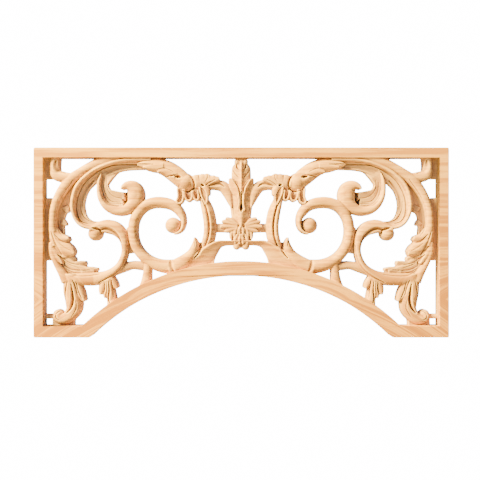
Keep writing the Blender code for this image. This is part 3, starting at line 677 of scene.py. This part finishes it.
# %% Marks on the scrolls
scroll_marks = [
    vee((70, 62.2, 0.6), (80.6, 62.4, 1.4), (96.6, 62.4, 1.6), (106.0, 60.9, 1.8), (114.9, 56.6, 1.8),
        (124.4, 49.0, 1.8), (130.0, 39.4, 1.8), (132.0, 30.0, 1.8), (131.0, 21.5, 1.8), (127.6, 16.6, 1.4),
        (123.0, 15.2, 0.6), depth=1.3),
    vee((129.4, 33.0, 0.4), (129.0, 27.0, 1.0), (126.6, 21.0, 1.2), (122.4, 17.6, 1.0), (117.0, 16.4, 0.4),
        depth=0.6),
    vee((126.8, 32.0, 0.4), (126.2, 27.0, 1.0), (124.0, 22.4, 1.2), (120.6, 19.2, 1.0), (115.6, 17.6, 0.4),
        depth=0.6),
    scoop((118.8, 49.4, 2.0), (122.6, 44.4, 5.0), (126.2, 36.8, 5.4), (127.2, 29.4, 5.0), (125.4, 23.0, 3.0),
        depth=0.9),
    vee((112.4, 46.0, 0.6), (111.6, 40.0, 1.6), (109.8, 34.8, 1.8), (106.6, 30.8, 1.8), (102.4, 29.2, 1.4),
        (98.0, 29.4, 0.6), depth=1.6),
    vee((110.2, 48.0, 0.4), (109.6, 42.0, 1.0), (107.4, 36.4, 1.0), (103.8, 33.0, 1.0), (97.0, 32.2, 0.5),
        depth=0.5),
    vee((107.8, 50.0, 0.4), (107.4, 44.0, 1.0), (105.0, 39.2, 1.0), (101.0, 36.4, 1.0), (95.6, 35.4, 0.5),
        depth=0.5),
    vee((102.4, 31.4, 0.5), (96.4, 31.0, 1.0), (94.0, 31.4, 0.5), depth=0.5),
    scoop((93.4, 42.4, 1.2), (92.0, 39.6, 3.4), (91.9, 36.0, 4.2), (92.6, 32.8, 4.0), (94.4, 30.2, 1.6),
          depth=4.6),
    scoop((95.4, 34.6, 1.0), (93.6, 32.4, 3.0), (94.0, 29.8, 1.4), depth=3.0),
    scoop((94.4, 40.6, 0.8), (93.2, 38.6, 2.2), (93.4, 36.6, 1.0), depth=2.2),
    scoop((118.0, 11.4, 1.2), (113.4, 10.2, 3.0), (108.6, 11.0, 4.2), (103.6, 9.6, 4.4), (98.6, 5.6, 3.6),
          (95.6, 0.0, 1.2), depth=2.0),
    vee((118.6, 11.8, 0.8), (114.4, 11.4, 2.0), (112.2, 8.8, 2.0), (112.4, 6.4, 0.8), depth=1.8),
    scoop((90.9, -2.0, 0.8), (91.6, -9.0, 2.0), (94.4, -17.0, 2.4), (99.4, -23.4, 2.6), (106.0, -28.0, 2.4),
          (114.0, -32.0, 1.0), depth=0.9),
    vee((51.2, 20.4, 0.6), (49.0, 17.8, 1.8), (48.3, 14.0, 2.0), (49.2, 10.6, 1.6), (51.6, 8.4, 0.6),
        depth=2.6),
    scoop((56.6, -13.0, 1.4), (56.2, -17.0, 4.2), (55.0, -20.8, 4.0), (53.4, -23.6, 1.4), depth=1.0),
]
print(len(scroll_marks), "marks on the scrolls")

# %% Marks on the leaves
leaf_marks = [
    vee((134.0, 50.0, 0.6), (140.3, 41.4, 1.4), (144.6, 33.8, 1.6), (147.2, 25.0, 1.6), (147.6, 16.3, 1.4),
        (146.0, 9.6, 1.2), (143.0, 5.6, 0.6), depth=0.8),
    vee((151.5, 9.4, 0.6), (148.9, 1.2, 2.4), (145.6, -5.4, 2.6), (143.0, -10.2, 0.8), depth=0.8),
    vee((148.5, 6.2, 0.6), (143.0, 1.0, 2.4), (137.4, -0.6, 1.0), depth=0.8),
    vee((144.6, -0.6, 0.6), (140.0, -4.2, 2.2), (135.4, -6.4, 0.8), depth=0.4),
    vee((146.3, -9.7, 0.8), (143.4, -12.6, 2.0), (141.6, -16.0, 1.8), (141.6, -17.6, 0.8), depth=2.2),
    vee((144.3, -10.7, 0.6), (137.9, -15.9, 1.4), (130.0, -17.9, 0.6), depth=0.7),
    vee((142.0, -18.2, 0.6), (135.6, -21.6, 1.4), (127.4, -22.3, 1.2), (121.0, -21.9, 0.6), depth=0.7),
    vee((142.0, -14.4, 0.5), (136.6, -18.0, 1.0), (129.6, -20.3, 0.5), depth=0.5),
    vee((141.6, -20.6, 0.5), (134.6, -24.0, 1.1), (125.8, -24.6, 0.5), depth=0.5),
    vee((140.6, -22.6, 0.6), (132.0, -26.3, 1.6), (122.0, -26.5, 1.4), (113.0, -25.2, 0.6), depth=0.6),
    scoop((148.0, 65.0, 2.4), (148.0, 60.6, 5.6), (145.8, 57.0, 5.0), (140.6, 55.4, 2.0), depth=1.1),
    vee((138.4, -30.6, 0.6), (139.7, -36.4, 1.6), (140.6, -42.8, 1.4), (140.0, -47.0, 0.6), depth=1.2),
    scoop((135.6, -33.0, 0.8), (134.8, -38.6, 2.4), (134.2, -46.0, 3.8), (135.8, -52.0, 3.2),
          (139.0, -56.0, 1.2), depth=2.8),
    vee((131.6, -31.2, 0.6), (130.0, -38.4, 1.6), (127.2, -44.6, 0.8), depth=1.2),
    vee((134.2, -30.0, 0.6), (132.2, -35.4, 1.6), (130.4, -42.0, 0.6), depth=1.3),
    vee((131.8, -46.0, 0.6), (131.4, -52.6, 1.4), (135.0, -59.0, 0.6), depth=0.6),
    vee((144.0, -54.4, 0.6), (147.2, -56.4, 1.4), (147.6, -60.0, 1.4), (144.8, -61.8, 0.6), depth=0.9),
    vee((109.0, -31.0, 0.6), (108.9, -37.0, 1.6), (110.0, -41.0, 0.6), depth=1.5),
    vee((105.7, -31.0, 0.6), (105.2, -38.6, 1.8), (105.8, -45.2, 1.6), (104.4, -49.0, 0.6), depth=1.6),
    vee((103.4, -30.0, 0.6), (102.4, -37.8, 1.4), (101.8, -43.6, 0.6), depth=1.0),
    vee((107.6, -30.0, 0.5), (107.0, -36.6, 1.0), (107.4, -41.4, 0.5), depth=0.7),
]
print(len(leaf_marks), "marks on the leaves")

# %% Marks on the head and the main stem
head_marks = [
    vee((64.0, 51.6, 0.6), (58.0, 52.8, 1.4), (52.0, 53.6, 1.8), (48.6, 53.2, 0.6), depth=1.4),
    scoop((52.6, 52.6, 1.6), (50.4, 52.3, 3.2), (48.2, 52.2, 1.6), depth=4.2),
    vee((66.0, 58.6, 0.5), (60.4, 59.0, 1.3), (54.0, 56.4, 0.6), depth=0.6),
    vee((44.2, 56.6, 0.6), (40.8, 53.6, 2.0), (38.3, 49.6, 2.4), (37.6, 45.8, 2.4), (39.0, 42.2, 2.2),
        (43.0, 40.6, 1.6), (47.4, 41.6, 0.6), depth=2.4),
    scoop((33.9, 41.0, 0.8), (33.2, 38.0, 1.6), (31.8, 35.2, 1.0), depth=2.2),
    vee((34.4, 56.0, 0.5), (33.6, 52.0, 1.2), (33.4, 48.6, 0.5), depth=0.4),
    vee((27.0, 55.0, 0.5), (26.8, 51.6, 1.2), (28.6, 48.4, 0.5), depth=0.4),
    scoop((31.9, 46.2, 1.6), (31.0, 45.8, 2.8), (30.1, 45.6, 1.6), depth=4.2),
    vee((28.4, 45.4, 0.6), (25.4, 47.8, 1.4), (20.6, 50.2, 0.6), depth=0.6),
    vee((33.0, 44.6, 0.5), (29.8, 41.6, 1.3), (28.0, 38.0, 0.6), depth=0.8),
    scoop((25.4, 45.4, 1.2), (20.6, 46.6, 4.6), (16.6, 46.6, 3.2), (13.6, 44.6, 1.2), depth=1.2),
    vee((31.0, 33.6, 0.6), (28.3, 27.6, 1.6), (26.6, 20.0, 1.8), (25.8, 12.0, 1.8), (26.4, 5.6, 1.4),
        (28.2, 0.4, 0.6), depth=1.4),
    scoop((32.8, 1.6, 1.2), (32.0, -2.8, 3.0), (33.4, -7.6, 2.4), (37.2, -12.4, 1.0), depth=2.2),
    vee((38.2, 3.6, 0.4), (37.4, 0.4, 1.0), (37.0, -3.0, 0.5), depth=0.7),
]
tooled(scrollwork, scroll_marks + leaf_marks + head_marks, back=0.04)

# %% Marks on the bellflower
half_marks = [
    vee((7.0, 50.6, 0.5), (4.8, 48.0, 1.6), (2.3, 43.6, 1.8), (1.5, 39.6, 1.4), (1.4, 37.6, 0.5),
        depth=1.6),
    scoop((3.6, 62.2, 0.8), (3.4, 59.8, 2.4), (2.2, 58.0, 1.0), depth=1.4),
    scoop((6.6, 57.6, 0.8), (4.4, 54.4, 2.6), (2.4, 52.0, 0.8), depth=0.6),
    scoop((1.9, 39.6, 1.0), (1.9, 34.0, 1.5), (2.1, 30.0, 1.6), (2.9, 27.6, 1.4), (2.6, 25.4, 0.8),
          depth=-0.5),
    vee((8.6, 38.0, 0.5), (7.0, 29.0, 1.6), (5.6, 21.0, 0.6), depth=0.4),
    vee((2.4, 9.0, 0.5), (2.2, 5.4, 1.2), (2.8, 3.6, 0.5), depth=0.8),
]
flower_marks = [
    scoop((0, 40.4, 0.9), (0, 38.6, 1.6), (0, 31.6, 1.7), (0, 29.4, 2.8), (0, 27.2, 4.0), (0, 25.2, 1.8),
          depth=7.0),
]
for path, depth, sharp in half_marks:
    flower_marks.append((path, depth, sharp))
    flower_marks.append(([(-x, z, width) for x, z, width in path], depth, sharp))
tooled(bellflower, flower_marks, back=0.08)

# %% [markdown]
# ## Hollows and edges as numbers
#
# On bare wood the hollows look warmer and darker than the crests, because light bounces about in them and
# sandpaper doesn't reach them. The material paints that in: painted shade in the hollows, and a painted
# highlight on the edges. It needs to know where they are, so each point's place is compared with the blurred
# place of the points round it: in a hollow the blur lies in front of the point, and on an edge it lies behind
# it. The difference is stored on the points as an attribute called hollow.

# %% Measure the hollows
BLUR_STEPS = 10
BLUR_SHARE = 0.6
FULL_HOLLOW = 0.4


def mark_hollows(obj):
    """Stores how far each point lies in a hollow (above 0) or on an edge (below 0), 1 for a full hollow."""
    mesh = obj.data
    ends = np.empty(len(mesh.edges) * 2, np.int32)
    mesh.edges.foreach_get("vertices", ends)
    a, b = ends.reshape(-1, 2).T
    here, there = np.concatenate([a, b]), np.concatenate([b, a])
    count = np.maximum(np.bincount(here, minlength=len(mesh.vertices)), 1)[:, None]
    start = point_grid(mesh, "co").astype(np.float64)
    blurred = start.copy()
    for _ in range(BLUR_STEPS):
        around = np.stack([np.bincount(here, blurred[there, i], len(start)) for i in range(3)], axis=1)
        blurred = (1 - BLUR_SHARE) * blurred + BLUR_SHARE * around / count
    lift = np.sum((blurred - start) * point_grid(mesh, "normal"), axis=1) / (FULL_HOLLOW * MM)
    store = mesh.attributes.new("hollow", "FLOAT", "POINT")
    store.data.foreach_set("value", np.clip(lift, -1, 1).astype(np.float32))
    print(f"{obj.name}: hollow from {lift.min():.2f} to {lift.max():.2f}")


print(f"a full hollow lies {FULL_HOLLOW} mm behind its surroundings")

# %% [markdown]
# A voxel skin has equally small faces everywhere, also where the wood is nearly flat. A Decimate modifier
# takes them out where they show least. It comes last, so that the marks were cut into the fine skin.

# %% Thin the skins and finish the pieces
MOST_TRIANGLES = 185000


def finished(obj):
    """Measures, sands and thins a skin, and hands it to the part."""
    mark_hollows(obj)
    sand = obj.modifiers.new("last sanding", "SMOOTH")
    sand.factor = 0.35
    sand.iterations = 1
    thin = obj.modifiers.new("thin", "DECIMATE")
    thin.ratio = min(1.0, MOST_TRIANGLES / (2 * len(obj.data.polygons)))
    apply_modifiers(obj)
    obj.data.shade_smooth()
    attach(obj, "root")
    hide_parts("carved_panel")
    print(f"{obj.name}: {len(obj.data.polygons)} faces")


finished(bellflower)
finished(scrollwork)

# %% [markdown]
# The left half is the right half turned over. Turning a mesh over also turns its faces inside out, so they
# are turned back.

# %% Left half
turned_over = bmesh.new()
turned_over.from_mesh(scrollwork.data)
bmesh.ops.scale(turned_over, verts=turned_over.verts, vec=(-1, 1, 1))
bmesh.ops.reverse_faces(turned_over, faces=turned_over.faces)
left_data = bpy.data.meshes.new("left_scrollwork")
turned_over.to_mesh(left_data)
turned_over.free()
left_data.shade_smooth()
left_scrollwork = bpy.data.objects.new("left_scrollwork", left_data)
bpy.context.scene.collection.objects.link(left_scrollwork)
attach(left_scrollwork, "root")
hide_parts("carved_panel")
print(f"left half: {len(left_data.polygons)} faces")

# %% [markdown]
# ## Bare wood
#
# The wood is pale, close-grained and unstained. The whole panel is one board, so one pattern in the panel's
# own coordinates runs through all the pieces: long streaks along the length, short dark pores in the same
# direction, and a slow drift of tone. The wood is mixed darker towards the bottom. Painted shade darkens what
# lies deep below the face, and the hollow attribute paints shade into the hollows and a highlight onto the
# edges.


# %% Nodes in a few words
def link(tree, value, socket):
    """Feeds a socket from another socket, or sets it to a plain number or colour."""
    if isinstance(value, bpy.types.NodeSocket):
        tree.links.new(value, socket)
    else:
        socket.default_value = value


def reckoned(tree, operation, *values):
    """A Math node on sockets or numbers."""
    node = tree.nodes.new("ShaderNodeMath")
    node.operation = operation
    for value, socket in zip(values, node.inputs):
        link(tree, value, socket)
    return node.outputs[0]


def product(tree, *values):
    """All the values multiplied together."""
    total = values[0]
    for value in values[1:]:
        total = reckoned(tree, "MULTIPLY", total, value)
    return total


def stretched_noise(tree, place, scale, detail, rough=0.5):
    """A noise stretched along x, read from a place vector."""
    stretch = tree.nodes.new("ShaderNodeVectorMath")
    stretch.operation = "MULTIPLY"
    stretch.inputs[1].default_value = scale
    noise = tree.nodes.new("ShaderNodeTexNoise")
    noise.inputs["Scale"].default_value = 1.0
    noise.inputs["Detail"].default_value = detail
    noise.inputs["Roughness"].default_value = rough
    link(tree, place, stretch.inputs[0])
    link(tree, stretch.outputs[0], noise.inputs["Vector"])
    return noise.outputs["Fac"]


def fitted_range(tree, value, low_from, high_from, low_to=0.0, high_to=1.0):
    """A value moved from one range to another, and held within it."""
    node = tree.nodes.new("ShaderNodeMapRange")
    numbers = (low_from, high_from, low_to, high_to)
    for socket, number in zip(("From Min", "From Max", "To Min", "To Max"), numbers):
        node.inputs[socket].default_value = number
    link(tree, value, node.inputs["Value"])
    return node.outputs["Result"]


print("node helpers are ready")

# %% Long grain as a node group
# The scales count the waves in a metre along x, y and z, so a small number draws a long streak.
BEND_SCALE = (14, 30, 30)
BEND_BY = (0, 0.003, 0.004)
STREAK_SCALE = (13, 240, 360)
PORE_SCALE = (420, 2600, 3600)
DRIFT_SCALE = (6, 60, 120)
ARCH_ZONE = (-0.015, -0.045)
ARCH_PULL = 2.2


def along_the_arch(tree, place):
    """The place, raised the more the further it lies from the middle, so that low streaks bend down with the
    arch."""
    parts = tree.nodes.new("ShaderNodeSeparateXYZ")
    link(tree, place, parts.inputs[0])
    pull = fitted_range(tree, parts.outputs["Z"], *ARCH_ZONE, 0.0, ARCH_PULL)
    lift = tree.nodes.new("ShaderNodeCombineXYZ")
    link(tree, product(tree, parts.outputs["X"], parts.outputs["X"], pull), lift.inputs["Z"])
    total = tree.nodes.new("ShaderNodeVectorMath")
    link(tree, place, total.inputs[0])
    link(tree, lift.outputs[0], total.inputs[1])
    return total.outputs[0]


def long_grain():
    """A group that puts out streaks, pores and drift for wood whose grain runs along x."""
    tree = bpy.data.node_groups.new("long grain", "ShaderNodeTree")
    for name in ("Streaks", "Pores", "Drift"):
        tree.interface.new_socket(name=name, in_out="OUTPUT", socket_type="NodeSocketFloat")
    place = along_the_arch(tree, tree.nodes.new("ShaderNodeTexCoord").outputs["Object"])
    bend = stretched_noise(tree, place, BEND_SCALE, 2)
    shift = tree.nodes.new("ShaderNodeVectorMath")
    shift.operation = "MULTIPLY_ADD"
    shift.inputs[1].default_value = BEND_BY
    link(tree, bend, shift.inputs[0])
    link(tree, place, shift.inputs[2])
    out = tree.nodes.new("NodeGroupOutput")
    streaks = stretched_noise(tree, shift.outputs[0], STREAK_SCALE, 4, 0.62)
    pores = stretched_noise(tree, shift.outputs[0], PORE_SCALE, 2)
    drift = stretched_noise(tree, shift.outputs[0], DRIFT_SCALE, 2)
    link(tree, fitted_range(tree, streaks, 0.42, 0.58), out.inputs["Streaks"])
    link(tree, fitted_range(tree, pores, 0.58, 0.72), out.inputs["Pores"])
    link(tree, fitted_range(tree, drift, 0.3, 0.7), out.inputs["Drift"])
    return tree


grain = long_grain()
print("group:", grain.name)


# %% The wood material
PALE = (0.84, 0.54, 0.26, 1)
DARKER = (0.46, 0.22, 0.08, 1)
PEACH = (0.74, 0.43, 0.19, 1)
PORE = (0.36, 0.17, 0.06, 1)
# Mixed in towards the bottom.
LOWER_TONE = (0.72, 0.39, 0.14, 1)
# Painted shade for what lies deep below the face.
SHADED = (0.56, 0.38, 0.29, 1)
# Painted shade for the hollows.
HOLLOW_SHADE = (0.16, 0.085, 0.05, 1)
# Painted highlight for the edges.
EDGE_HIGHLIGHT = (0.92, 0.70, 0.50, 1)

# Heights and depths in metres. The back and the outer edges keep a thin layer without painted shade.
TOP_TO_FOOT = (0.05, -0.06)
FACE_TO_TIES = (-0.0102, -0.0065)
BACK_SKIN = (-0.0008, -0.0003)
OUTER_SKIN = (0.0004, 0.0001)


def colour_mix(tree, share, a, b):
    """Two colours mixed: a share of 0 gives the first, 1 the second."""
    node = tree.nodes.new("ShaderNodeMix")
    node.data_type = "RGBA"
    for value, socket in zip((share, a, b), (node.inputs[0], node.inputs[6], node.inputs[7])):
        link(tree, value, socket)
    return node.outputs[2]


def inside_of(tree, value, limit):
    """1 where a coordinate is nearer the centre than this limit, 0 on the outside faces."""
    inner, outer = (limit - skin for skin in OUTER_SKIN)
    return fitted_range(tree, reckoned(tree, "ABSOLUTE", value), inner, outer, 1.0, 0.0)


def bare_wood():
    """Pale wood with streaks, pores and drift, darker towards the bottom, with painted shade deep below the
    face and in the hollows, and a painted highlight on the edges.
    """
    material = bpy.data.materials.new("bare pale wood")
    material.use_nodes = True
    tree = material.node_tree
    shader = tree.nodes["Principled BSDF"]
    lines = tree.nodes.new("ShaderNodeGroup")
    lines.node_tree = grain
    hollow = tree.nodes.new("ShaderNodeAttribute")
    hollow.attribute_name = "hollow"
    place = tree.nodes.new("ShaderNodeSeparateXYZ")
    link(tree, tree.nodes.new("ShaderNodeTexCoord").outputs["Object"], place.inputs[0])
    x, y, z = place.outputs["X"], place.outputs["Y"], place.outputs["Z"]
    colour = colour_mix(tree, lines.outputs["Drift"], PALE, PEACH)
    # The wood is mixed darker towards the bottom.
    colour = colour_mix(tree, fitted_range(tree, z, *TOP_TO_FOOT, 0.0, 0.6), colour, LOWER_TONE)
    streaks = product(tree, lines.outputs["Streaks"], fitted_range(tree, z, *TOP_TO_FOOT, 0.8, 1.35))
    colour = colour_mix(tree, streaks, colour, DARKER)
    colour = colour_mix(tree, product(tree, lines.outputs["Pores"], 0.35), colour, PORE)
    # Painted shade: what lies deep below the face, except the back and the outer faces, is mixed towards a
    # shaded colour.
    sunk = product(
        tree,
        fitted_range(tree, y, *FACE_TO_TIES, 0.0, 0.8),
        fitted_range(tree, y, *BACK_SKIN, 1.0, 0.0),
        inside_of(tree, x, LENGTH / 2 * MM),
        inside_of(tree, z, HEIGHT / 2 * MM),
    )
    colour = colour_mix(tree, sunk, colour, SHADED)
    # Painted highlight: the edges are mixed towards a paler colour.
    colour = colour_mix(tree, fitted_range(tree, hollow.outputs["Fac"], 0.0, -0.6, 0.0, 0.7), colour, EDGE_HIGHLIGHT)
    # Painted shade: the hollows are mixed towards dark brown.
    colour = colour_mix(tree, fitted_range(tree, hollow.outputs["Fac"], 0.03, 0.5, 0.0, 0.9), colour, HOLLOW_SHADE)
    link(tree, colour, shader.inputs["Base Color"])
    link(tree, fitted_range(tree, lines.outputs["Streaks"], 0, 1, 0.52, 0.66), shader.inputs["Roughness"])
    shader.inputs["Specular IOR Level"].default_value = 0.2
    bump = tree.nodes.new("ShaderNodeBump")
    bump.inputs["Strength"].default_value = 0.35
    bump.inputs["Distance"].default_value = 0.00008
    relief = reckoned(tree, "SUBTRACT", lines.outputs["Streaks"], lines.outputs["Pores"])
    link(tree, relief, bump.inputs["Height"])
    link(tree, bump.outputs["Normal"], shader.inputs["Normal"])
    return material


wood_finish = bare_wood()
for piece in (sawn, scrollwork, left_scrollwork, bellflower):
    piece.data.materials.clear()
    piece.data.materials.append(wood_finish)
print("material:", wood_finish.name)

# %% [markdown]
# ## Studio
#
# The panel is seen square on, from about half a metre, against white. One warm soft light stands high on the
# left, so the left and upper flanks are bright and the others fall into shade. A weak, cooler surround
# fills the shadows. Only the camera sees the floor and the surround as white.

# %% Floor
BACKDROP = 16
FLOOR_REACH = 3.0
FLOOR_HEIGHT = -0.45
floor_mesh = bmesh.new()
bmesh.ops.create_grid(floor_mesh, x_segments=1, y_segments=1, size=FLOOR_REACH)
bmesh.ops.translate(floor_mesh, verts=floor_mesh.verts, vec=(0, 0, FLOOR_HEIGHT))
floor_data = bpy.data.meshes.new("studio_floor")
floor_mesh.to_mesh(floor_data)
floor_mesh.free()
studio_floor = bpy.data.objects.new("studio_floor", floor_data)
bpy.context.scene.collection.objects.link(studio_floor)


def pale_floor():
    """A matte pale floor that looks as bright as the white surround behind it."""
    material = bpy.data.materials.new("pale floor")
    material.use_nodes = True
    tree = material.node_tree
    matte = tree.nodes["Principled BSDF"]
    matte.inputs["Base Color"].default_value = (0.3, 0.3, 0.3, 1)
    matte.inputs["Roughness"].default_value = 0.8
    glow = tree.nodes.new("ShaderNodeEmission")
    glow.inputs["Strength"].default_value = BACKDROP
    rays = tree.nodes.new("ShaderNodeLightPath")
    either = tree.nodes.new("ShaderNodeMixShader")
    link(tree, rays.outputs["Is Camera Ray"], either.inputs["Fac"])
    link(tree, matte.outputs[0], either.inputs[1])
    link(tree, glow.outputs[0], either.inputs[2])
    link(tree, either.outputs[0], tree.nodes["Material Output"].inputs["Surface"])
    return material


floor_data.materials.append(pale_floor())
print(f"the floor lies {-FLOOR_HEIGHT} m below the panel's centre")

# %% Surround and light
SURROUND = 0.42
SURROUND_COLOUR = (0.5, 0.74, 1, 1)
world = bpy.data.worlds.new("white studio")
bpy.context.scene.world = world
world.use_nodes = True
background = world.node_tree.nodes["Background"]
background.inputs["Color"].default_value = SURROUND_COLOUR
background.inputs["Strength"].default_value = SURROUND
seen = world.node_tree.nodes.new("ShaderNodeBackground")
seen.inputs["Color"].default_value = (1, 1, 1, 1)
seen.inputs["Strength"].default_value = BACKDROP
rays = world.node_tree.nodes.new("ShaderNodeLightPath")
either = world.node_tree.nodes.new("ShaderNodeMixShader")
link(world.node_tree, rays.outputs["Is Camera Ray"], either.inputs["Fac"])
link(world.node_tree, background.outputs[0], either.inputs[1])
link(world.node_tree, seen.outputs[0], either.inputs[2])
link(world.node_tree, either.outputs[0], world.node_tree.nodes["World Output"].inputs["Surface"])


def soft_light(name, place, size, power, colour):
    """A square light aimed at the panel's centre."""
    lamp = bpy.data.lights.new(name, "AREA")
    lamp.size = size
    lamp.energy = power
    lamp.color = colour
    obj = bpy.data.objects.new(name, lamp)
    aim = (-Vector(place)).to_track_quat("-Z", "Y")
    obj.matrix_world = Matrix.Translation(place) @ aim.to_matrix().to_4x4()
    bpy.context.scene.collection.objects.link(obj)
    print(f"{name}: {power} W")


soft_light("key light", place=(-1.2, -0.62, 1.0), size=0.6, power=365, colour=(1.0, 0.66, 0.115))

# %% Camera
CAMERA_DISTANCE = 0.5
PIXEL = 0.7935 * MM
IMAGE_WIDTH = 480
SENSOR = 36
camera_data = bpy.data.cameras.new("camera")
camera_data.sensor_width = SENSOR
camera_data.lens = SENSOR * CAMERA_DISTANCE / (IMAGE_WIDTH * PIXEL)
camera = bpy.data.objects.new("camera", camera_data)
camera.location = (-0.001, -THICKNESS * MM - CAMERA_DISTANCE, 0.002)
camera.rotation_euler = (math.pi / 2, 0, 0)
bpy.context.scene.collection.objects.link(camera)
bpy.context.scene.camera = camera
print(f"camera lens {camera_data.lens:.1f} mm")
